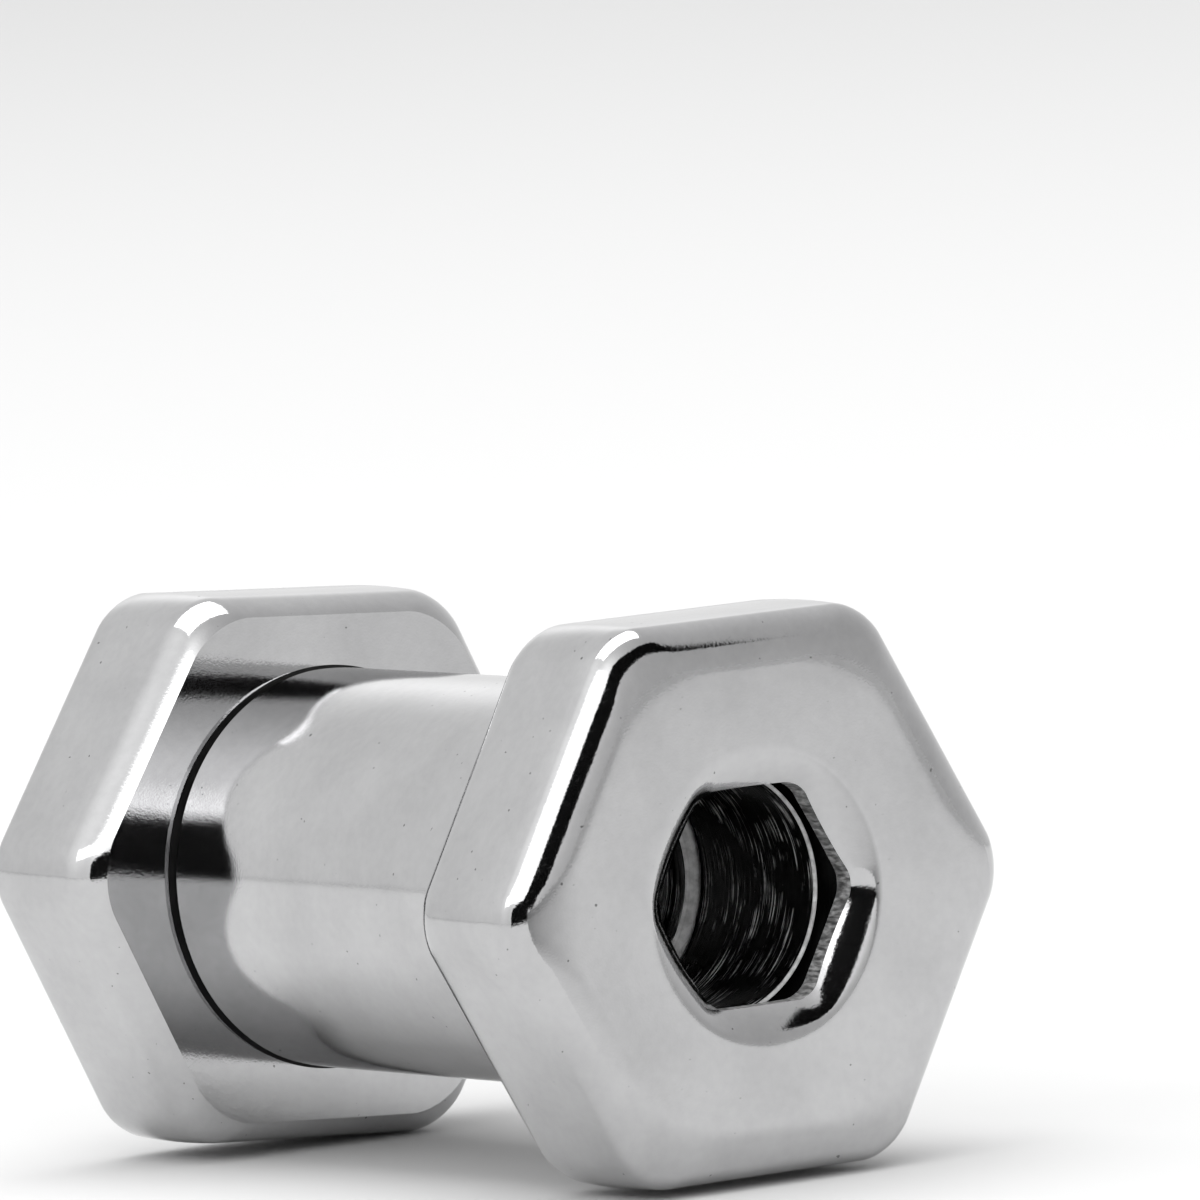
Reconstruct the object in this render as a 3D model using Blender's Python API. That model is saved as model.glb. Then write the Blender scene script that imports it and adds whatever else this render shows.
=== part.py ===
"""A screw-together ear tunnel of polished steel with a hexagonal flange at each end.

Two pieces on one axis, which runs along Y: a flanged barrel, open at the front, and a screw back
whose sleeve goes into the barrel from behind. The tunnel lies on the lower flats of its flanges.
The origin is at the middle of its length, on the surface that it rests on. Lengths are in metres.
"""
import math

import bmesh
import bpy
from mathutils import Matrix

MM = 0.001

# Flanges: hexagons with a flat at the top and at the bottom
FLANGE_FLATS = 11.0 * MM
FLANGE_THICKNESS = 3.5 * MM
CORNER_RADIUS = 1.3 * MM
EDGE_RADIUS = 0.8 * MM
BACK_TURN = math.radians(3.8)       # where the thread leaves the back flange when it is tight

# Barrel, and the shallow waist that polishing leaves near its rear end
BARREL_RADIUS = 4.0 * MM
BARREL_LENGTH = 10.5 * MM           # from one flange to the other
WAIST_DEPTH = 0.08 * MM
WAIST_LENGTH = 3.2 * MM
PARTING_GAP = 0.3 * MM
SEAT_RADIUS = 4.1 * MM              # shallow turned seat in the back flange, behind the barrel's end
SEAT_DEPTH = 0.06 * MM

# Hexagonal mouth in each flange, with a round dish before it and a relief groove behind it
MOUTH_FLATS = 4.2 * MM
MOUTH_CORNER_RADIUS = 0.55 * MM
DISH_RADIUS = 3.1 * MM
DISH_INNER_RADIUS = 2.04 * MM        # just inside the mouth's flats
DISH_DEPTH = 0.45 * MM
SOCKET_DEPTH = 1.2 * MM
RELIEF_RADIUS = 2.6 * MM
RELIEF_LENGTH = 0.3 * MM

# Bore of the barrel, the wider bore for the thread, and the sleeve inside it
BORE_RADIUS = 2.4 * MM
BORE_CHAMFER = 0.08 * MM
THREAD_BORE_RADIUS = 3.2 * MM
THREAD_BORE_START = 5.0 * MM        # behind the front face
SLEEVE_RADIUS = 2.9 * MM
SLEEVE_BORE_RADIUS = 2.3 * MM
SLEEVE_END_GAP = 0.35 * MM
SLEEVE_CHAMFER = 0.12 * MM

# Steel
STEEL_COLOUR = (0.62, 0.62, 0.63, 1.0)
STEEL_ROUGHNESS = 0.12

# Fineness of round surfaces
ROUND_STEPS = 72
CORNER_STEPS = 6
EDGE_STEPS = 4
WAIST_STEPS = 6
DISH_STEPS = 4

# Places along the axis
HALF_LENGTH = BARREL_LENGTH / 2 + FLANGE_THICKNESS
FRONT_FACE = -HALF_LENGTH
FRONT_SHOULDER = -BARREL_LENGTH / 2
BACK_SHOULDER = BARREL_LENGTH / 2
BACK_FACE = HALF_LENGTH
BARREL_END = BACK_SHOULDER - PARTING_GAP
STEP = FRONT_FACE + THREAD_BORE_START
SLEEVE_END = STEP + SLEEVE_END_GAP
OVERRUN = 1.0 * MM                  # how far helpers reach past the faces that they cut or join


def lowest_reach(flats, corner_radius, turn):
    """How far a rounded hexagon reaches below its centre when it is turned about its axis."""
    to_corner_centre = (flats / 2 - corner_radius) / math.cos(math.pi / 6)
    return to_corner_centre * math.sin(math.pi / 3 + abs(turn)) + corner_radius


AXIS_HEIGHT = lowest_reach(FLANGE_FLATS, CORNER_RADIUS, BACK_TURN)


def steel():
    """Polished stainless steel."""
    material = bpy.data.materials.new("polished_steel")
    material.use_nodes = True
    shader = material.node_tree.nodes["Principled BSDF"]
    shader.inputs["Base Color"].default_value = STEEL_COLOUR
    shader.inputs["Metallic"].default_value = 1.0
    shader.inputs["Roughness"].default_value = STEEL_ROUGHNESS
    return material


def add_object(name, bm):
    """Put a mesh into the scene, with its origin on the tunnel's axis."""
    bmesh.ops.recalc_face_normals(bm, faces=bm.faces)
    mesh = bpy.data.meshes.new(name)
    bm.to_mesh(mesh)
    bm.free()
    mesh.shade_smooth()
    mesh.set_sharp_from_angle(angle=math.radians(35))
    obj = bpy.data.objects.new(name, mesh)
    obj.location.z = AXIS_HEIGHT
    bpy.context.scene.collection.objects.link(obj)
    return obj


def hexagon_prism(name, flats, corner_radius, start, end, edge_radius=0.0, turn=0.0):
    """A hexagonal prism along Y with round corners and, where asked for, round end edges."""
    bm = bmesh.new()
    bmesh.ops.create_cone(bm, cap_ends=True, segments=6, radius1=flats / 2 / math.cos(math.pi / 6),
                          radius2=flats / 2 / math.cos(math.pi / 6), depth=end - start)
    corner_first = Matrix.Rotation(math.pi / 6, 4, "Z")
    along_y = Matrix.Rotation(math.pi / 2, 4, "X")
    bmesh.ops.transform(bm, verts=bm.verts, matrix=along_y @ corner_first)
    corners = [e for e in bm.edges if abs(e.verts[0].co.y - e.verts[1].co.y) > (end - start) / 2]
    bmesh.ops.bevel(bm, geom=corners, affect="EDGES", offset_type="OFFSET", profile=0.5,
                    offset=corner_radius * math.tan(math.pi / 6), segments=CORNER_STEPS)
    if edge_radius:
        outline = [e for e in bm.edges if abs(e.verts[0].co.y - e.verts[1].co.y) < (end - start) / 2]
        bmesh.ops.bevel(bm, geom=outline, affect="EDGES", offset_type="OFFSET", profile=0.5,
                        offset=edge_radius, segments=EDGE_STEPS)
    place = Matrix.Translation((0, (start + end) / 2, 0)) @ Matrix.Rotation(turn, 4, "Y")
    bmesh.ops.transform(bm, verts=bm.verts, matrix=place)
    return add_object(name, bm)


def turned(name, profile):
    """A solid turned about Y from a profile of (place along Y, radius) that starts and ends at radius 0."""
    bm = bmesh.new()
    points = [bm.verts.new((radius, along, 0)) for along, radius in profile]
    edges = [bm.edges.new(pair) for pair in zip(points, points[1:])]
    bmesh.ops.spin(bm, geom=points + edges, cent=(0, 0, 0), axis=(0, 1, 0),
                   angle=2 * math.pi, steps=ROUND_STEPS, use_merge=True)
    bmesh.ops.remove_doubles(bm, verts=bm.verts, dist=0.001 * MM)
    return add_object(name, bm)


def helper(obj):
    """Mark an object that only shapes others."""
    obj.hide_render = True
    obj.display_type = "WIRE"
    return obj


def boolean(obj, other, operation):
    modifier = obj.modifiers.new(other.name, "BOOLEAN")
    modifier.operation = operation
    modifier.solver = "EXACT"
    modifier.object = helper(other)


def waist_profile():
    """The barrel's outside near its rear end, as a shallow wave."""
    start = BARREL_END - WAIST_LENGTH
    points = []
    for step in range(WAIST_STEPS + 1):
        share = step / WAIST_STEPS
        dip = WAIST_DEPTH * (1 - math.cos(2 * math.pi * share)) / 2
        points.append((start + share * WAIST_LENGTH, BARREL_RADIUS - dip))
    return points


def dish_profile(face, inward):
    """The dish round a mouth, from its outer edge to the mouth; inward is +1 or -1 along Y."""
    points = [(face - inward * OVERRUN, 0), (face - inward * OVERRUN, DISH_RADIUS)]
    for step in range(DISH_STEPS + 1):
        angle = math.pi / 2 * step / DISH_STEPS
        radius = DISH_RADIUS - (DISH_RADIUS - DISH_INNER_RADIUS) * math.sin(angle)
        points.append((face + inward * DISH_DEPTH * (1 - math.cos(angle)), radius))
    points.append((face + inward * DISH_DEPTH, 0))
    return points


def cut_mouth(obj, name, face, inward, turn):
    """Cut the dish and the hexagonal mouth into a flange's outer face."""
    dish = turned(name + "_dish", dish_profile(face, inward))
    ends = sorted((face - inward * OVERRUN, face + inward * (SOCKET_DEPTH + RELIEF_LENGTH / 2)))
    mouth = hexagon_prism(name + "_mouth", MOUTH_FLATS, MOUTH_CORNER_RADIUS, ends[0], ends[1], turn=turn)
    boolean(obj, dish, "DIFFERENCE")
    boolean(obj, mouth, "DIFFERENCE")


def make_flanged_barrel():
    """The front flange and the barrel, one piece, bored through."""
    piece = hexagon_prism("flanged_barrel", FLANGE_FLATS, CORNER_RADIUS, FRONT_FACE, FRONT_SHOULDER,
                          edge_radius=EDGE_RADIUS)
    root = FRONT_SHOULDER - OVERRUN
    barrel = turned("barrel_outside", [(root, 0), (root, BARREL_RADIUS)] + waist_profile() + [(BARREL_END, 0)])
    relief_start = FRONT_FACE + SOCKET_DEPTH
    relief_end = relief_start + RELIEF_LENGTH
    bore = turned("barrel_bore", [
        (relief_start, 0),
        (relief_start, RELIEF_RADIUS),
        (relief_end, RELIEF_RADIUS),
        (relief_end, BORE_RADIUS + BORE_CHAMFER),
        (relief_end + BORE_CHAMFER, BORE_RADIUS),
        (STEP, BORE_RADIUS),
        (STEP, THREAD_BORE_RADIUS),
        (BARREL_END + OVERRUN, THREAD_BORE_RADIUS),
        (BARREL_END + OVERRUN, 0),
    ])
    boolean(piece, barrel, "UNION")
    boolean(piece, bore, "DIFFERENCE")
    cut_mouth(piece, "front", FRONT_FACE, 1, 0.0)
    return piece


def make_screw_back():
    """The rear flange and its sleeve, one piece, bored through."""
    piece = hexagon_prism("screw_back", FLANGE_FLATS, CORNER_RADIUS, BACK_SHOULDER, BACK_FACE,
                          edge_radius=EDGE_RADIUS, turn=BACK_TURN)
    seat = turned("back_seat", [
        (BACK_SHOULDER - OVERRUN, 0),
        (BACK_SHOULDER - OVERRUN, SEAT_RADIUS),
        (BACK_SHOULDER + SEAT_DEPTH, SEAT_RADIUS),
        (BACK_SHOULDER + SEAT_DEPTH, 0),
    ])
    root = BACK_SHOULDER + OVERRUN
    sleeve = turned("sleeve_outside", [
        (SLEEVE_END, 0),
        (SLEEVE_END, SLEEVE_RADIUS - SLEEVE_CHAMFER),
        (SLEEVE_END + SLEEVE_CHAMFER, SLEEVE_RADIUS),
        (root, SLEEVE_RADIUS),
        (root, 0),
    ])
    relief_start = BACK_FACE - SOCKET_DEPTH
    relief_end = relief_start - RELIEF_LENGTH
    bore = turned("sleeve_bore", [
        (SLEEVE_END - OVERRUN, 0),
        (SLEEVE_END - OVERRUN, SLEEVE_BORE_RADIUS + SLEEVE_CHAMFER + OVERRUN),
        (SLEEVE_END + SLEEVE_CHAMFER, SLEEVE_BORE_RADIUS),
        (relief_end, SLEEVE_BORE_RADIUS),
        (relief_end, RELIEF_RADIUS),
        (relief_start, RELIEF_RADIUS),
        (relief_start, 0),
    ])
    boolean(piece, seat, "DIFFERENCE")
    boolean(piece, sleeve, "UNION")
    boolean(piece, bore, "DIFFERENCE")
    cut_mouth(piece, "back", BACK_FACE, -1, BACK_TURN)
    return piece


def main():
    for obj in list(bpy.data.objects):
        bpy.data.objects.remove(obj, do_unlink=True)
    material = steel()
    for piece in (make_flanged_barrel(), make_screw_back()):
        piece.data.materials.append(material)


main()
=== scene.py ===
import math

import bmesh
import bpy
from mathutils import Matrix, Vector


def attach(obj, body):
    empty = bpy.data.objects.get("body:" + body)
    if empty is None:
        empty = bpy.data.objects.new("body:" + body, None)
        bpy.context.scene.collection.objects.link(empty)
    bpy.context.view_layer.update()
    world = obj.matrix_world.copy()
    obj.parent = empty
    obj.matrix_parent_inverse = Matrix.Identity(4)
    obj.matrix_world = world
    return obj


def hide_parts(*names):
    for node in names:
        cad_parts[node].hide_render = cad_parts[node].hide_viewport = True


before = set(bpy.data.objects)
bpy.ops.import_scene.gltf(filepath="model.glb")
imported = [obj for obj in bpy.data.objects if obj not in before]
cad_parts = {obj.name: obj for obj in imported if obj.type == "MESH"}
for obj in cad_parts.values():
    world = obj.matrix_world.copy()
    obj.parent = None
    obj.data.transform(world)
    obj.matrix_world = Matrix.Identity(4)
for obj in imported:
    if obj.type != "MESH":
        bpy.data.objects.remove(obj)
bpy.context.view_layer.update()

# A screw-together ear tunnel of polished steel, lying on a pale table in soft studio light.
# Lengths are in metres. The tunnel's axis runs along Y, with the front flange at its lower end.

MM = 0.001

# Flanges: hexagons with a flat at the top and at the bottom
AXIS_HEIGHT = 5.6515 * MM
FLANGE_FLATS = 11.0 * MM
FLANGE_THICKNESS = 3.5 * MM
CORNER_RADIUS = 1.3 * MM
FACE_CORNER_RADIUS = 3.0 * MM       # polishing wears a face's corners rounder than the sides'
FACE_EDGE = (1.05 * MM, 0.60 * MM, 0)       # a round edge's width, depth and first angle
SHOULDER_EDGE = (0.95 * MM, 0.95 * MM, 34)  # on the turned shoulders it starts with a crease
SIDE_CROWN = 0.035 * MM             # the sides swell a little between their two edges
SIDE_TURN = 86                      # angle in degrees at which a round edge meets the sides
SIDE_STEPS = 6
BACK_TURN = math.radians(3.8)

# Barrel
BARREL_RADIUS = 4.0 * MM
BARREL_LENGTH = 10.5 * MM
BARREL_FILLET = 0.12 * MM
BARREL_EDGE_BREAK = 0.05 * MM
PARTING_GAP = 0.15 * MM
SEAT_RADIUS = 4.04 * MM
SEAT_DEPTH = 0.06 * MM

# Mouths and sockets
MOUTH_REACH = 2.14 * MM             # from the axis to the middle of a flat
MOUTH_CORNER_RADIUS = 0.6 * MM
MOUTH_BOW = 0.05                    # how far the flats of a mouth bow out towards a circle
MOUTH_CORNER_RISE = 0.09 * MM       # the mouth's corners lie nearer to the face than its flats
LIP_RADIUS = 3.0 * MM
LIP_SLOPES = (                      # share of the lip's width, and its slope there in degrees
    (0.0, 0), (0.15, 4), (0.32, 23), (0.86, 37), (1.0, 42),
)
SOCKET_DEPTH = 0.75 * MM
RELIEF_RADIUS = 2.75 * MM
RELIEF_END = 1.5 * MM

# Bores, sleeve and thread
BORE_RADIUS = 2.4 * MM
BORE_CHAMFER = 0.06 * MM
THREAD_BORE_RADIUS = 3.25 * MM
THREAD_BORE_START = 5.0 * MM
SLEEVE_CORE_RADIUS = 2.7 * MM
SLEEVE_BORE_RADIUS = 2.3 * MM
SLEEVE_END_GAP = 0.35 * MM
SLEEVE_CHAMFER = 0.12 * MM
SLEEVE_CONE = 0.24 * MM             # width of the cone that the sleeve's end is turned to
SLEEVE_STEP = 0.06 * MM             # the sleeve's bore narrows by this, between two places
SLEEVE_STEP_START = 0.42 * MM       # from the sleeve's end
SLEEVE_STEP_FINISH = 0.55 * MM
SLEEVE_INNER_RADIUS = SLEEVE_BORE_RADIUS - SLEEVE_STEP
THREAD_PITCH = 0.5 * MM
THREAD_FULLNESS = 0.92              # share of the pitch that a ridge takes at its base
THREAD_STEPS = 48                   # to a turn
SLEEVE_THREAD = (2.92 * MM, 2.66 * MM)      # radius of its crest, and of its base inside the metal
SLEEVE_THREAD_START = 0.4 * MM      # from the sleeve's end
SLEEVE_THREAD_TURNS = 14
BORE_THREAD = (3.10 * MM, 3.29 * MM)
BORE_THREAD_START = 0.5 * MM        # from the step in the bore
BORE_THREAD_TURNS = 15

# Places along the axis
FRONT_FACE = -(BARREL_LENGTH / 2 + FLANGE_THICKNESS)
FRONT_SHOULDER = -BARREL_LENGTH / 2
BACK_SHOULDER = BARREL_LENGTH / 2
BACK_FACE = BARREL_LENGTH / 2 + FLANGE_THICKNESS
BARREL_END = BACK_SHOULDER - PARTING_GAP
STEP = FRONT_FACE + THREAD_BORE_START
SLEEVE_END = STEP + SLEEVE_END_GAP

# Fineness of the rings: each sixth of a ring has a corner and a flat
CORNER_STEPS = 16
FLAT_STEPS = 14
RING_STEPS = 6 * (CORNER_STEPS + FLAT_STEPS)
EDGE_STEPS = 14
LIP_STEPS = 16
FILLET_STEPS = 6
MERGE_DISTANCE = 0.0005 * MM
FACE_TOLERANCE = 0.01 * MM          # for telling which faces take another finish
RING_SPACING = 40 * MM              # between rings being bridged, more than the tunnel's length
SMOOTH_ANGLE = math.radians(20)     # less than the shoulder's crease

# Camera, from the photograph's perspective
CAMERA_AIM = Vector((2.230 * MM, -1.155 * MM, 10.983 * MM))
CAMERA_DISTANCE = 342.37 * MM
CAMERA_AZIMUTH = math.radians(-37.635)
CAMERA_ELEVATION = math.radians(4.796)
CAMERA_ROLL = math.radians(-3.401)
CAMERA_LENS = 519.76                # millimetres, on a 36 mm sensor
CAMERA_SENSOR = 36.0

# Cards that show only in the polish, as painted reflections: two black ones, and a grey one painted
# as the table's light falling off. Bearings are in degrees, to the right of straight in front.
CARD_STEPS = 16
CARD_REACH = 300 * MM
FAR_CARD_START = 150 * MM
FAR_CARD_LIFT = 0.3 * MM            # above the table
FAR_CARD_BEARINGS = (-54, -12)
FAR_CARD_ARCH = (-35, 26)           # bearing of its middle, and half its width
FAR_CARD_TOP = (12, 92)             # millimetres at the sides, and how much the arch adds
NEAR_CARD_CENTRE = Vector((-1.2, -8.6, 6.5)) * MM
NEAR_CARD_REACH = 40 * MM
# Bearings and degrees above the level, from the near card's centre
NEAR_CARD_LOWER = ((-10, 2), (-1, 14), (10, 24.5), (24, 29.5), (44, 29))
NEAR_CARD_UPPER = ((-35, 7), (-26.5, 29), (-7, 43.5), (17, 44), (46, 46))
GREY_CARD_START = 10 * MM
GREY_CARD_LIFT = 0.25 * MM
GREY_CARD_TOP = 18 * MM
GREY_CARD_BEARINGS = (-12, 80)
# The black cards are painted dark reflections, seen only in the polish.
BLACK_CARD_TONE = 0.004
# The grey card is a painted shade of the table, greyer further off, seen only in the polish.
GREY_CARD_NEAR_TONE = 0.62
GREY_CARD_FAR_TONE = 0.52

# The table
TABLE_SIZE = 6.0
TABLE_TONE = 0.62

# The light tent: its brightness, 1 being white, and where it is brighter or darker than that
TENT_BRIGHTNESS = 0.88
TENT_PATCHES = (                    # towards, how narrow, and how much is added
    ((0.49, 0.77, 0.40), 50.0, 0.45),
    ((-0.38, -0.80, 0.47), 12.0, 1.10),
    ((0.70, -0.60, 0.35), 3.0, -0.32),
    ((-0.78, 0.10, 0.62), 5.0, 0.48),
)
SOFTBOXES = (                       # name, place, width, height and brightness, 1 being white
    ("overhead", (0, 0.03, 0.5), 0.5, 0.5, 2.7),
    ("left", (-0.45, -0.22, 0.34), 0.75, 0.22, 1.3),
)


# Rings

def circle_ring(along, radius):
    """A round ring about the tunnel's axis."""
    bpy.ops.mesh.primitive_circle_add(
        vertices=RING_STEPS, radius=radius, fill_type="NOTHING",
        location=(0, along, AXIS_HEIGHT), rotation=(math.pi / 2, 0, 0))
    bpy.ops.object.transform_apply(location=True, rotation=True, scale=True)
    return bpy.context.active_object


def hexagon_ring(along, reach, corner_radius, roundness=0.0, turn=0.0, rise=0.0):
    """A ring with six flats and round corners; with roundness 1 it is a circle.

    Its corners are moved along the axis by the rise, the rest of it less.
    """
    centre = (0, along, AXIS_HEIGHT)
    bpy.ops.mesh.primitive_circle_add(
        vertices=6, radius=reach / math.cos(math.pi / 6), fill_type="NOTHING",
        location=centre, rotation=(math.pi / 2, math.pi / 6 + turn, 0))
    bpy.ops.object.transform_apply(location=True, rotation=True, scale=True)
    ring = bpy.context.active_object
    bpy.ops.object.mode_set(mode="EDIT")
    bpy.ops.mesh.select_all(action="SELECT")
    bpy.ops.mesh.bevel(affect="VERTICES", offset=corner_radius * math.tan(math.pi / 6),
                       segments=CORNER_STEPS, profile=0.5)
    longest = max(edge.calc_length() for edge in bmesh.from_edit_mesh(ring.data).edges)
    select_edges(lambda edge: edge.calc_length() > 0.9 * longest)
    bpy.ops.mesh.subdivide(number_cuts=FLAT_STEPS - 1)
    bpy.ops.mesh.select_all(action="SELECT")
    if roundness > 0:
        bpy.ops.transform.tosphere(value=roundness, center_override=centre)
        vertices = bmesh.from_edit_mesh(ring.data).verts
        nearest = min((vert.co - Vector(centre)).length for vert in vertices)
        bpy.ops.transform.resize(value=(reach / nearest,) * 3, center_override=centre)
    if rise:
        vertices = bmesh.from_edit_mesh(ring.data).verts
        farthest = max((vert.co - Vector(centre)).length for vert in vertices)
        for vert in vertices:
            vert.co.y += rise * ((vert.co - Vector(centre)).length - reach) / (farthest - reach)
        bmesh.update_edit_mesh(ring.data)
    bpy.ops.object.mode_set(mode="OBJECT")
    return ring


def select_edges(test):
    """In edit mode, select only the edges that pass a test."""
    bpy.ops.mesh.select_all(action="DESELECT")
    mesh = bpy.context.edit_object.data
    for edge in bmesh.from_edit_mesh(mesh).edges:
        if test(edge):
            edge.select_set(True)
    bmesh.update_edit_mesh(mesh)


def join(pieces, name):
    """Join pieces into the first of them, under one name."""
    bpy.ops.object.select_all(action="DESELECT")
    for piece in pieces:
        piece.select_set(True)
    bpy.context.view_layer.objects.active = pieces[0]
    bpy.ops.object.join()
    pieces[0].name = name
    pieces[0].data.name = name
    return pieces[0]


def wall(rings, finish):
    """A wall of one finish through a row of rings, which are set apart while they are bridged."""
    for step, ring in enumerate(rings):
        ring.location.y = step * RING_SPACING
    piece = join(rings, "wall")
    bpy.ops.object.transform_apply(location=True, rotation=True, scale=True)
    bpy.ops.object.mode_set(mode="EDIT")
    bpy.ops.mesh.select_all(action="SELECT")
    bpy.ops.mesh.bridge_edge_loops(type="SINGLE")
    bpy.ops.object.mode_set(mode="OBJECT")
    for vert in piece.data.vertices:
        vert.co.y -= round(vert.co.y / RING_SPACING) * RING_SPACING
    piece.data.materials.append(finish)
    return piece


def refinish(piece, finish, test):
    """Give another finish to the faces that pass a test."""
    piece.data.materials.append(finish)
    piece.active_material_index = len(piece.data.materials) - 1
    bpy.ops.object.mode_set(mode="EDIT")
    bpy.ops.mesh.select_mode(type="FACE")
    bpy.ops.mesh.select_all(action="DESELECT")
    for face in bmesh.from_edit_mesh(piece.data).faces:
        if test(face.calc_center_median() - Vector((0, 0, AXIS_HEIGHT))):
            face.select_set(True)
    bmesh.update_edit_mesh(piece.data)
    bpy.ops.object.material_slot_assign()
    bpy.ops.mesh.select_mode(type="VERT")
    bpy.ops.object.mode_set(mode="OBJECT")
    return piece


def close_up(piece):
    """Merge the walls of a piece into one closed skin and smooth it."""
    bpy.ops.object.select_all(action="DESELECT")
    piece.select_set(True)
    bpy.context.view_layer.objects.active = piece
    bpy.ops.object.mode_set(mode="EDIT")
    bpy.ops.mesh.select_all(action="SELECT")
    bpy.ops.mesh.remove_doubles(threshold=MERGE_DISTANCE)
    bpy.ops.mesh.normals_make_consistent(inside=False)
    bpy.ops.object.mode_set(mode="OBJECT")
    bpy.ops.object.shade_smooth_by_angle(angle=SMOOTH_ANGLE)
    weighted = piece.modifiers.new("even shading", "WEIGHTED_NORMAL")
    weighted.keep_sharp = True
    bpy.ops.object.modifier_apply(modifier=weighted.name)


# Walls of a flange; inward is +1 or -1 along Y, from the outer face into the tunnel

def lip_places():
    """Shares of the lip's width from the face to the mouth, with the depth at each."""
    places = [(0.0, 0.0)]
    depth = 0.0
    width = (LIP_RADIUS - MOUTH_REACH) / LIP_STEPS
    for step in range(LIP_STEPS):
        share = (step + 0.5) / LIP_STEPS
        for (low, low_slope), (high, high_slope) in zip(LIP_SLOPES, LIP_SLOPES[1:]):
            if low <= share <= high:
                slope = low_slope + (high_slope - low_slope) * (share - low) / (high - low)
        depth += width * math.tan(math.radians(slope))
        places.append(((step + 1) / LIP_STEPS, depth))
    return places


LIP_PLACES = lip_places()
MOUTH_DEPTH = LIP_PLACES[-1][1]


def mouth_ring(along, turn, rise=0.0):
    return hexagon_ring(along, MOUTH_REACH, MOUTH_CORNER_RADIUS, MOUTH_BOW, turn, rise)


def socket_rings(face, inward, turn):
    """The broached hexagon behind the lip."""
    return [
        mouth_ring(face + inward * SOCKET_DEPTH, turn),
        mouth_ring(face + inward * MOUTH_DEPTH, turn, -inward * MOUTH_CORNER_RISE),
    ]


def lip_rings(face, inward, turn):
    """The lip, from a circle on the face down to the hexagonal mouth."""
    rings = []
    for share, depth in LIP_PLACES:
        reach = LIP_RADIUS + (MOUTH_REACH - LIP_RADIUS) * share
        corner = MOUTH_CORNER_RADIUS * reach / MOUTH_REACH
        roundness = 1 - share ** 1.5 * (1 - MOUTH_BOW)
        rise = -inward * MOUTH_CORNER_RISE * share ** 3
        rings.append(hexagon_ring(face + inward * depth, reach, corner, roundness, turn, rise))
    return rings


def outside_rings(face, inward, turn):
    """The flat face, the round edges and the six sides, as far as the shoulder."""
    lip_corner = MOUTH_CORNER_RADIUS * LIP_RADIUS / MOUTH_REACH
    lip = hexagon_ring(face, LIP_RADIUS, lip_corner, 1.0, turn)
    front, front_depth = edge_rings(face, inward, turn, FACE_EDGE)
    back, back_depth = edge_rings(face + inward * FLANGE_THICKNESS, -inward, turn, SHOULDER_EDGE)
    sides = []
    for step in range(1, SIDE_STEPS):
        share = step / SIDE_STEPS
        depth = front_depth + (FLANGE_THICKNESS - front_depth - back_depth) * share
        reach = FLANGE_FLATS / 2 - SIDE_CROWN * (2 * share - 1) ** 2
        sides.append(hexagon_ring(face + inward * depth, reach, CORNER_RADIUS, 0.0, turn))
    return [lip] + front + sides + back[::-1]


def edge_place(edge, degrees):
    """The inset and depth of a round edge at an angle: 0 is on the face, 90 on the sides."""
    width, depth, first = edge
    angle = math.radians(degrees)
    inset = SIDE_CROWN + width * (math.sin(math.radians(SIDE_TURN)) - math.sin(angle))
    return inset, depth * (math.cos(math.radians(first)) - math.cos(angle))


def worn_ring(along, edge, inset, turn):
    """A ring of a round edge: the nearer the face, the rounder polishing has worn its corners."""
    wear = ((inset - SIDE_CROWN) / (edge_place(edge, 0)[0] - SIDE_CROWN)) ** 2
    corner = CORNER_RADIUS + (FACE_CORNER_RADIUS - CORNER_RADIUS) * wear
    return hexagon_ring(along, FLANGE_FLATS / 2 - inset, corner, 0.0, turn)


def edge_rings(face, inward, turn, edge):
    """Rings from a flat face over its round edge to the sides, and how deep the last one is."""
    first = edge[2]
    rings = []
    for step in range(EDGE_STEPS + 1):
        inset, depth = edge_place(edge, first + (SIDE_TURN - first) * step / EDGE_STEPS)
        rings.append(worn_ring(face + inward * depth, edge, inset, turn))
    return rings, depth


def shoulder_ring(shoulder, turn):
    """The inner border of a flange's rounding, on the shoulder."""
    return worn_ring(shoulder, SHOULDER_EDGE, edge_place(SHOULDER_EDGE, SHOULDER_EDGE[2])[0], turn)


def relief_rings(face, inward, turn, bore):
    """The ledge behind the socket and the relief groove."""
    start = face + inward * SOCKET_DEPTH
    end = face + inward * RELIEF_END
    return [
        mouth_ring(start, turn),
        circle_ring(start, RELIEF_RADIUS),
        circle_ring(end, RELIEF_RADIUS),
        circle_ring(end, bore + BORE_CHAMFER),
    ]


def rounding_rings(start, inward, radius, size):
    """A quarter round of a size, from a flat face at the start to a round wall."""
    rings = []
    for step in range(FILLET_STEPS + 1):
        angle = math.pi / 2 * step / FILLET_STEPS
        rings.append(circle_ring(start + inward * size * (1 - math.cos(angle)),
                                 radius + size * (1 - math.sin(angle))))
    return rings


def bead_rings(face, inward, bore):
    """The rounded edge where a bore begins."""
    return rounding_rings(face + inward * RELIEF_END, inward, bore, BORE_CHAMFER)


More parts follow.
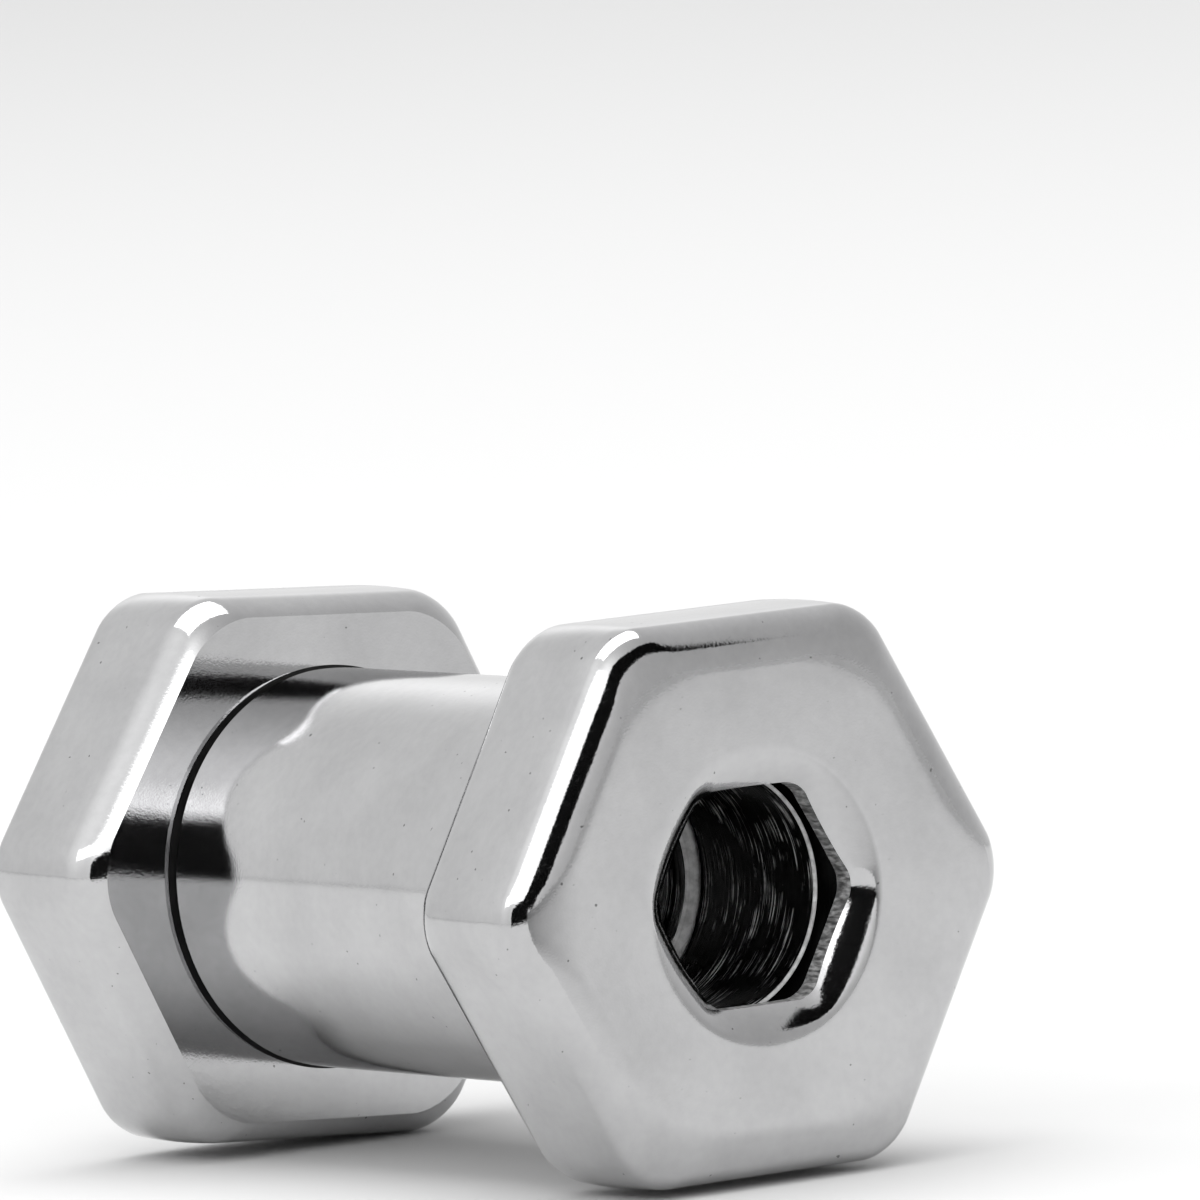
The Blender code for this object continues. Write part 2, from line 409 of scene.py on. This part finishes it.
def thread_ridge(start, turns, radii, finish):
    """The ridge of a thread: a three-sided profile, wound round the axis and closed at its ends."""
    crest, base = radii
    centre = (0, start, AXIS_HEIGHT)
    bpy.ops.mesh.primitive_circle_add(vertices=3, radius=1 * MM, fill_type="NOTHING",
                                      location=centre, rotation=(0, 0, -math.pi / 2))
    bpy.ops.object.transform_apply(location=False, rotation=True, scale=True)
    ridge = bpy.context.active_object
    bpy.ops.object.mode_set(mode="EDIT")
    bpy.ops.mesh.select_all(action="SELECT")
    high = (crest - base) / (1.5 * MM)
    wide = THREAD_FULLNESS * THREAD_PITCH / (math.sqrt(3) * MM)
    bpy.ops.transform.resize(value=(high, wide, 1), center_override=centre)
    bpy.ops.transform.translate(value=(crest - high * MM, 0, 0))
    bpy.ops.object.mode_set(mode="OBJECT")
    winding = ridge.modifiers.new("winding", "SCREW")
    winding.axis = "Y"
    winding.angle = 2 * math.pi
    winding.screw_offset = THREAD_PITCH
    winding.iterations = turns
    winding.steps = THREAD_STEPS
    winding.render_steps = THREAD_STEPS
    bpy.ops.object.modifier_apply(modifier=winding.name)
    bpy.ops.object.transform_apply(location=True, rotation=True, scale=True)
    bpy.ops.object.mode_set(mode="EDIT")
    bpy.ops.mesh.select_all(action="SELECT")
    bpy.ops.mesh.fill_holes(sides=3)
    bpy.ops.object.mode_set(mode="OBJECT")
    ridge.data.materials.clear()
    ridge.data.materials.append(finish)
    return ridge


# The two pieces

def make_front_piece(polished, broached, bored, threaded, turned):
    """The front flange and the barrel."""
    shoulder = [shoulder_ring(FRONT_SHOULDER, 0.0)]
    shoulder += rounding_rings(FRONT_SHOULDER, 1, BARREL_RADIUS, BARREL_FILLET)
    barrel = [
        circle_ring(FRONT_SHOULDER + BARREL_FILLET, BARREL_RADIUS),
        circle_ring(BARREL_END - BARREL_EDGE_BREAK, BARREL_RADIUS),
        circle_ring(BARREL_END, BARREL_RADIUS - BARREL_EDGE_BREAK),
        circle_ring(BARREL_END, THREAD_BORE_RADIUS + BORE_CHAMFER),
    ]
    thread_bore = [
        circle_ring(BARREL_END, THREAD_BORE_RADIUS + BORE_CHAMFER),
        circle_ring(BARREL_END - BORE_CHAMFER, THREAD_BORE_RADIUS),
        circle_ring(STEP, THREAD_BORE_RADIUS),
        circle_ring(STEP, BORE_RADIUS),
    ]
    bore = [
        circle_ring(STEP, BORE_RADIUS),
        circle_ring(FRONT_FACE + RELIEF_END + BORE_CHAMFER, BORE_RADIUS),
    ]
    walls = [
        wall(outside_rings(FRONT_FACE, 1, 0.0), polished),
        wall(lip_rings(FRONT_FACE, 1, 0.0), polished),
        wall(shoulder, polished),
        refinish(wall(barrel, polished), turned,
                 lambda place: place.y > BARREL_END - FACE_TOLERANCE),
        wall(socket_rings(FRONT_FACE, 1, 0.0), broached),
        wall(relief_rings(FRONT_FACE, 1, 0.0, BORE_RADIUS), bored),
        wall(bead_rings(FRONT_FACE, 1, BORE_RADIUS), turned),
        wall(thread_bore, threaded),
        thread_ridge(STEP + BORE_THREAD_START, BORE_THREAD_TURNS, BORE_THREAD, threaded),
        wall(bore, bored),
    ]
    piece = join(walls, "front_flange_and_barrel")
    close_up(piece)
    return piece


def make_back_piece(polished, broached, bored, threaded, turned):
    """The back flange and its sleeve."""
    seat = [
        shoulder_ring(BACK_SHOULDER, BACK_TURN),
        circle_ring(BACK_SHOULDER, SEAT_RADIUS),
        circle_ring(BACK_SHOULDER + SEAT_DEPTH, SEAT_RADIUS),
        circle_ring(BACK_SHOULDER + SEAT_DEPTH, SLEEVE_CORE_RADIUS),
    ]
    sleeve = [
        circle_ring(BACK_SHOULDER + SEAT_DEPTH, SLEEVE_CORE_RADIUS),
        circle_ring(SLEEVE_END + SLEEVE_CHAMFER, SLEEVE_CORE_RADIUS),
    ]
    sleeve_end = [
        circle_ring(SLEEVE_END + SLEEVE_CHAMFER, SLEEVE_CORE_RADIUS),
        circle_ring(SLEEVE_END, SLEEVE_CORE_RADIUS - SLEEVE_CHAMFER),
        circle_ring(SLEEVE_END, SLEEVE_BORE_RADIUS + SLEEVE_CONE),
        circle_ring(SLEEVE_END + SLEEVE_CHAMFER, SLEEVE_BORE_RADIUS),
    ]
    bore = [
        circle_ring(SLEEVE_END + SLEEVE_CHAMFER, SLEEVE_BORE_RADIUS),
        circle_ring(SLEEVE_END + SLEEVE_STEP_START, SLEEVE_BORE_RADIUS),
        circle_ring(SLEEVE_END + SLEEVE_STEP_FINISH, SLEEVE_INNER_RADIUS),
        circle_ring(BACK_FACE - RELIEF_END - BORE_CHAMFER, SLEEVE_INNER_RADIUS),
    ]
    walls = [
        wall(outside_rings(BACK_FACE, -1, BACK_TURN), polished),
        wall(lip_rings(BACK_FACE, -1, BACK_TURN), polished),
        refinish(wall(seat, polished), turned,
                 lambda place: math.hypot(place.x, place.z) < SEAT_RADIUS + FACE_TOLERANCE),
        wall(socket_rings(BACK_FACE, -1, BACK_TURN), broached),
        wall(relief_rings(BACK_FACE, -1, BACK_TURN, SLEEVE_INNER_RADIUS), bored),
        wall(bead_rings(BACK_FACE, -1, SLEEVE_INNER_RADIUS), turned),
        wall(sleeve, threaded),
        thread_ridge(SLEEVE_END + SLEEVE_THREAD_START, SLEEVE_THREAD_TURNS, SLEEVE_THREAD,
                     threaded),
        wall(sleeve_end, turned),
        wall(bore, bored),
    ]
    piece = join(walls, "back_flange_and_sleeve")
    close_up(piece)
    return piece


# Finishes

def add_node(tree, kind, inputs=None, **settings):
    """A node with its settings, and a value or another node's output for each input named."""
    node = tree.nodes.new(kind)
    for setting, value in settings.items():
        setattr(node, setting, value)
    for socket, value in (inputs or {}).items():
        if isinstance(value, bpy.types.NodeSocket):
            tree.links.new(value, node.inputs[socket])
        else:
            node.inputs[socket].default_value = value
    return node


def new_finish(name, metallic=1.0):
    """A material with its shader and coordinates in millimetres."""
    material = bpy.data.materials.new(name)
    material.use_nodes = True
    tree = material.node_tree
    shader = tree.nodes["Principled BSDF"]
    shader.inputs["Metallic"].default_value = metallic
    place = add_node(tree, "ShaderNodeTexCoord").outputs["Object"]
    millimetres = add_node(tree, "ShaderNodeMapping", {"Vector": place, "Scale": (1 / MM,) * 3})
    return material, tree, shader, millimetres.outputs["Vector"]


def noise(tree, place, scale, detail=2.0, stretch=(1, 1, 1), turn=(0, 0, 0)):
    """Noise of so many grains per millimetre, stretched after it is turned."""
    turned = add_node(tree, "ShaderNodeMapping", {"Vector": place, "Rotation": turn})
    stretched = add_node(tree, "ShaderNodeMapping",
                         {"Vector": turned.outputs["Vector"], "Scale": stretch})
    return add_node(tree, "ShaderNodeTexNoise", {
        "Vector": stretched.outputs["Vector"], "Scale": scale, "Detail": detail,
    }).outputs["Fac"]


def spread(tree, value, low, high, low_out=0.0, high_out=1.0):
    """Carry a range of values over to another, and stop at its ends."""
    return add_node(tree, "ShaderNodeMapRange", {
        "Value": value, "From Min": low, "From Max": high, "To Min": low_out, "To Max": high_out,
    }, clamp=True).outputs["Result"]


def calculate(tree, operation, *values):
    """The result of a sum with numbers or other nodes' outputs."""
    inputs = dict(enumerate(values))
    return add_node(tree, "ShaderNodeMath", inputs, operation=operation).outputs[0]


def grey(tone):
    return (tone, tone, tone, 1)


def blend(tree, factor, first, second):
    """A colour from the first to the second of two, as the factor goes from 0 to 1."""
    inputs = {"Factor": factor, "A": first, "B": second}
    return add_node(tree, "ShaderNodeMix", inputs, data_type="RGBA").outputs[2]


def bump(tree, height, depth, under=None):
    """A relief of some depth, on top of another one if there is one under it."""
    inputs = {"Height": height, "Strength": 1.0, "Distance": depth}
    if under is not None:
        inputs["Normal"] = under
    return add_node(tree, "ShaderNodeBump", inputs).outputs["Normal"]


def distance_from_axis(tree, place):
    """How far a place is from the tunnel's axis, in millimetres."""
    level = add_node(tree, "ShaderNodeVectorMath",
                     {0: place, 1: (0, 0, AXIS_HEIGHT / MM)}, operation="SUBTRACT")
    across = add_node(tree, "ShaderNodeVectorMath",
                      {0: level.outputs["Vector"], 1: (1, 0, 1)}, operation="MULTIPLY")
    length = add_node(tree, "ShaderNodeVectorMath",
                      {0: across.outputs["Vector"]}, operation="LENGTH")
    return length.outputs["Value"]


def polished_steel():
    """Mirror-polished steel: faint waves, a fine haze, hairlines and a few pits."""
    material, tree, shader, place = new_finish("polished_steel")
    waves = noise(tree, place, 0.7, detail=1.0)
    grain = noise(tree, place, 22.0, detail=2.0)
    cloud = noise(tree, place, 5.0, detail=3.0)
    patches = noise(tree, place, 0.6, detail=2.0)
    slant = (0, math.radians(28), 0)
    lines = noise(tree, place, 1.0, detail=2.0, stretch=(1.0, 24, 30), turn=slant)
    hairlines = spread(tree, lines, 0.64, 0.70)
    pits = spread(tree, noise(tree, place, 9.0, detail=0.0), 0.15, 0.12)
    haze = spread(tree, grain, 0.3, 0.7, 0.045, 0.09)
    scuffed = calculate(tree, "MULTIPLY_ADD", hairlines, 0.07, haze)
    tone = calculate(tree, "MULTIPLY_ADD", cloud, 0.5, patches)
    tint = blend(tree, spread(tree, tone, 0.45, 1.05),
                 (0.485, 0.485, 0.49, 1), (0.565, 0.565, 0.57, 1))
    tint = blend(tree, pits, tint, grey(0.2))
    tree.links.new(tint, shader.inputs["Base Color"])
    tree.links.new(scuffed, shader.inputs["Roughness"])
    normal = bump(tree, waves, 0.0030 * MM)
    normal = bump(tree, grain, 0.0009 * MM, normal)
    tree.links.new(normal, shader.inputs["Normal"])
    return material


def bored_steel_with_painted_shade():
    """The bores: painted dark as the shade inside them, with bright marks of the boring tool round
    the axis.

    The marks stop where the metal is further from the axis than a bore's wall, so the relief groove
    is left all painted shade.
    """
    material, tree, shader, place = new_finish("bored_steel_with_painted_shade")
    marks = noise(tree, place, 1.0, detail=2.5, stretch=(0.8, 22, 0.8))
    breaks = noise(tree, place, 1.3, detail=4.0)
    scored = calculate(tree, "MULTIPLY",
                       spread(tree, marks, 0.55, 0.64), spread(tree, breaks, 0.48, 0.58))
    # Beyond a bore's wall, in the relief groove, only the painted shade is left.
    within_bore = spread(tree, distance_from_axis(tree, place), 2.42, 2.46, 1.0, 0.0)
    streaks = calculate(tree, "MULTIPLY", scored, within_bore)
    # The dark grey is painted shade inside the bores; the pale streaks are the boring tool's marks.
    tint = blend(tree, streaks, grey(0.06), grey(0.75))
    tree.links.new(tint, shader.inputs["Base Color"])
    tree.links.new(spread(tree, streaks, 0.0, 1.0, 0.25, 0.62), shader.inputs["Roughness"])
    tree.links.new(spread(tree, streaks, 0.0, 1.0, 1.0, 0.2), shader.inputs["Metallic"])
    tree.links.new(bump(tree, marks, 0.010 * MM), shader.inputs["Normal"])
    return material


def turned_steel_and_seam_shade():
    """The sleeve's end, the beads, the seat and the barrel's end: turned matt.

    The seat and the barrel's end are further out, and painted near black as the shade in the gap at
    the parting line.
    """
    material, tree, shader, place = new_finish("turned_steel_and_seam_shade", metallic=0.1)
    radius = distance_from_axis(tree, place)
    rounds = add_node(tree, "ShaderNodeCombineXYZ", {"X": radius})
    marks = noise(tree, rounds.outputs[0], 9.0, detail=2.0)
    flecks = noise(tree, place, 5.0, detail=3.0)
    worn = calculate(tree, "MULTIPLY", marks, flecks)
    tint = blend(tree, spread(tree, worn, 0.16, 0.32), grey(0.50), grey(0.90))
    # Further out than 3.3 mm, on the seat and the barrel's end, the colour is painted near black:
    # painted shade in the parting line's gap.
    tint = blend(tree, spread(tree, radius, 3.3, 3.7), tint, grey(0.012))
    tree.links.new(tint, shader.inputs["Base Color"])
    tree.links.new(spread(tree, flecks, 0.3, 0.7, 0.35, 0.6), shader.inputs["Roughness"])
    tree.links.new(bump(tree, marks, 0.01 * MM), shader.inputs["Normal"])
    return material


def broached_steel():
    """The sockets: grey and torn along the axis by the broach."""
    material, tree, shader, place = new_finish("broached_steel")
    tears = noise(tree, place, 1.0, detail=4.0, stretch=(14, 4, 14))
    tint = blend(tree, spread(tree, tears, 0.35, 0.65), grey(0.30), grey(0.85))
    tree.links.new(tint, shader.inputs["Base Color"])
    tree.links.new(spread(tree, tears, 0.3, 0.7, 0.50, 0.75), shader.inputs["Roughness"])
    tree.links.new(bump(tree, tears, 0.03 * MM), shader.inputs["Normal"])
    return material


def threaded_steel():
    """The sleeve and the threaded bore: turned bright, not polished."""
    material, tree, shader, place = new_finish("threaded_steel")
    marks = noise(tree, place, 1.0, detail=3.0, stretch=(1.5, 16, 1.5))
    tree.links.new(blend(tree, marks, grey(0.42), grey(0.64)), shader.inputs["Base Color"])
    tree.links.new(spread(tree, marks, 0.3, 0.7, 0.16, 0.3), shader.inputs["Roughness"])
    tree.links.new(bump(tree, marks, 0.002 * MM), shader.inputs["Normal"])
    return material


# Table, light and camera

def flat_finish(name, tone, roughness=1.0, sheen=0.0):
    """An even grey material."""
    material = bpy.data.materials.new(name)
    material.use_nodes = True
    shader = material.node_tree.nodes["Principled BSDF"]
    shader.inputs["Base Color"].default_value = grey(tone)
    shader.inputs["Roughness"].default_value = roughness
    shader.inputs["Specular IOR Level"].default_value = sheen
    return material


def make_table():
    bpy.ops.mesh.primitive_plane_add(size=TABLE_SIZE)
    table = bpy.context.active_object
    table.name = "table_top"
    table.data.materials.append(flat_finish("pale_table", TABLE_TONE, roughness=0.8, sheen=0.1))


def make_card(name, rows, material):
    """A card through rows of points, which shows only in the polish."""
    verts = [point for row in rows for point in row]
    count = len(rows[0])
    faces = []
    for row in range(len(rows) - 1):
        for step in range(count - 1):
            a = row * count + step
            faces.append((a, a + 1, a + count + 1, a + count))
    mesh = bpy.data.meshes.new(name)
    mesh.from_pydata(verts, [], faces)
    card = bpy.data.objects.new(name, mesh)
    bpy.context.scene.collection.objects.link(card)
    card.data.materials.append(material)
    card.visible_camera = False
    card.visible_diffuse = False
    card.visible_shadow = False


def arc_row(reach, height, bearings):
    """Points at one reach and height, between two bearings seen from the tunnel."""
    left, right = bearings
    row = []
    for step in range(CARD_STEPS + 1):
        bearing = math.radians(left + (right - left) * step / CARD_STEPS)
        row.append((reach * math.sin(bearing), -reach * math.cos(bearing), height))
    return row


def table_falloff_painted_finish():
    """The grey card's finish, painted as the table's light falling off: greyer further off, and
    darker at its left.
    """
    material = flat_finish("grey_card", GREY_CARD_NEAR_TONE)
    tree = material.node_tree
    place = add_node(tree, "ShaderNodeTexCoord").outputs["Object"]
    reach = add_node(tree, "ShaderNodeVectorMath", {0: place}, operation="LENGTH").outputs["Value"]
    shade = spread(tree, reach, 12 * MM, 140 * MM, GREY_CARD_NEAR_TONE, GREY_CARD_FAR_TONE)
    sides = add_node(tree, "ShaderNodeSeparateXYZ", {"Vector": place}).outputs
    slant = calculate(tree, "DIVIDE", sides["X"], sides["Y"])
    darkening = spread(tree, slant, -0.55, 0.2, 0.0, 0.6)
    beyond = spread(tree, reach, 16 * MM, 36 * MM)
    darkening = calculate(tree, "MULTIPLY", darkening, beyond)
    remaining = calculate(tree, "SUBTRACT", 1.0, darkening)
    shade = calculate(tree, "MULTIPLY", shade, remaining)
    tree.links.new(shade, tree.nodes["Principled BSDF"].inputs["Base Color"])
    return material


def near_row(directions):
    """Points of the near card, each given by its bearing and height from the card's centre."""
    points = []
    for bearing, height in directions:
        across, up = math.radians(bearing), math.radians(height)
        direction = Vector((math.sin(across) * math.cos(up),
                            -math.cos(across) * math.cos(up),
                            math.sin(up)))
        points.append(NEAR_CARD_CENTRE + direction * NEAR_CARD_REACH)
    return points


def make_cards():
    """Painted reflections: two black cards, far and near, in front on the left, and a grey one low
    on the right.
    """
    black = flat_finish("black_card", BLACK_CARD_TONE)
    far_base = arc_row(CARD_REACH, FAR_CARD_LIFT, FAR_CARD_BEARINGS)
    far_top = []
    arch_middle, arch_width = FAR_CARD_ARCH
    side, rise = FAR_CARD_TOP
    for x, y, _ in far_base:
        bearing = math.degrees(math.atan2(x, -y))
        arch = math.sqrt(max(0.0, 1 - ((bearing - arch_middle) / arch_width) ** 2))
        far_top.append((x, y, (side + rise * arch) * MM))
    far_start = arc_row(FAR_CARD_START, FAR_CARD_LIFT, FAR_CARD_BEARINGS)
    # Painted dark reflections, in front on the left.
    make_card("far_card", [far_start, far_base, far_top], black)
    make_card("near_card", [near_row(NEAR_CARD_LOWER), near_row(NEAR_CARD_UPPER)], black)
    # The grey card: the table's light falling off, painted, and seen only in the polish.
    make_card("grey_card", [
        arc_row(GREY_CARD_START, GREY_CARD_LIFT, GREY_CARD_BEARINGS),
        arc_row(CARD_REACH, GREY_CARD_LIFT, GREY_CARD_BEARINGS),
        arc_row(CARD_REACH, GREY_CARD_TOP, GREY_CARD_BEARINGS),
    ], table_falloff_painted_finish())


def make_softbox(name, place, width, height, radiance):
    """A rectangular light aimed at the tunnel; its radiance is what shows in the polish."""
    data = bpy.data.lights.new(name, "AREA")
    data.shape = "RECTANGLE"
    data.size = width
    data.size_y = height
    data.energy = radiance * math.pi * width * height
    light = bpy.data.objects.new(name, data)
    light.location = place
    aim = Vector((0, 0, AXIS_HEIGHT)) - Vector(place)
    light.rotation_euler = aim.to_track_quat("-Z", "Y").to_euler()
    bpy.context.scene.collection.objects.link(light)


def make_lights():
    """The light tent, which is the world, and the softboxes."""
    world = bpy.data.worlds.new("light_tent")
    world.use_nodes = True
    tree = world.node_tree
    direction = add_node(tree, "ShaderNodeTexCoord").outputs["Generated"]
    strength = TENT_BRIGHTNESS
    for towards, narrowness, amount in TENT_PATCHES:
        along = add_node(tree, "ShaderNodeVectorMath",
                         {0: direction, 1: Vector(towards).normalized()},
                         operation="DOT_PRODUCT").outputs["Value"]
        facing = calculate(tree, "MAXIMUM", along, 0.0)
        patch = calculate(tree, "POWER", facing, narrowness)
        strength = calculate(tree, "MULTIPLY_ADD", patch, amount, strength)
    background = tree.nodes["Background"]
    background.inputs["Color"].default_value = (1, 1, 1, 1)
    tree.links.new(strength, background.inputs["Strength"])
    bpy.context.scene.world = world
    for softbox in SOFTBOXES:
        make_softbox(*softbox)


def make_camera():
    data = bpy.data.cameras.new("camera")
    data.lens = CAMERA_LENS
    data.sensor_width = CAMERA_SENSOR
    camera = bpy.data.objects.new("camera", data)
    back = Vector((math.sin(CAMERA_AZIMUTH) * math.cos(CAMERA_ELEVATION),
                   -math.cos(CAMERA_AZIMUTH) * math.cos(CAMERA_ELEVATION),
                   math.sin(CAMERA_ELEVATION)))
    camera.location = CAMERA_AIM + back * CAMERA_DISTANCE
    camera.rotation_euler = (-back).to_track_quat("-Z", "Y").to_euler()
    camera.rotation_euler.rotate_axis("Z", CAMERA_ROLL)
    bpy.context.scene.collection.objects.link(camera)
    bpy.context.scene.camera = camera


def main():
    bpy.context.scene.view_settings.view_transform = "Standard"
    make_camera()
    make_table()
    make_cards()
    make_lights()
    finishes = (
        polished_steel(), broached_steel(), bored_steel_with_painted_shade(), threaded_steel(), turned_steel_and_seam_shade(),
    )
    front = make_front_piece(*finishes)
    back = make_back_piece(*finishes)
    for piece, node in ((front, "flanged_barrel"), (back, "screw_back")):
        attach(piece, node)
        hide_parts(node)


main()
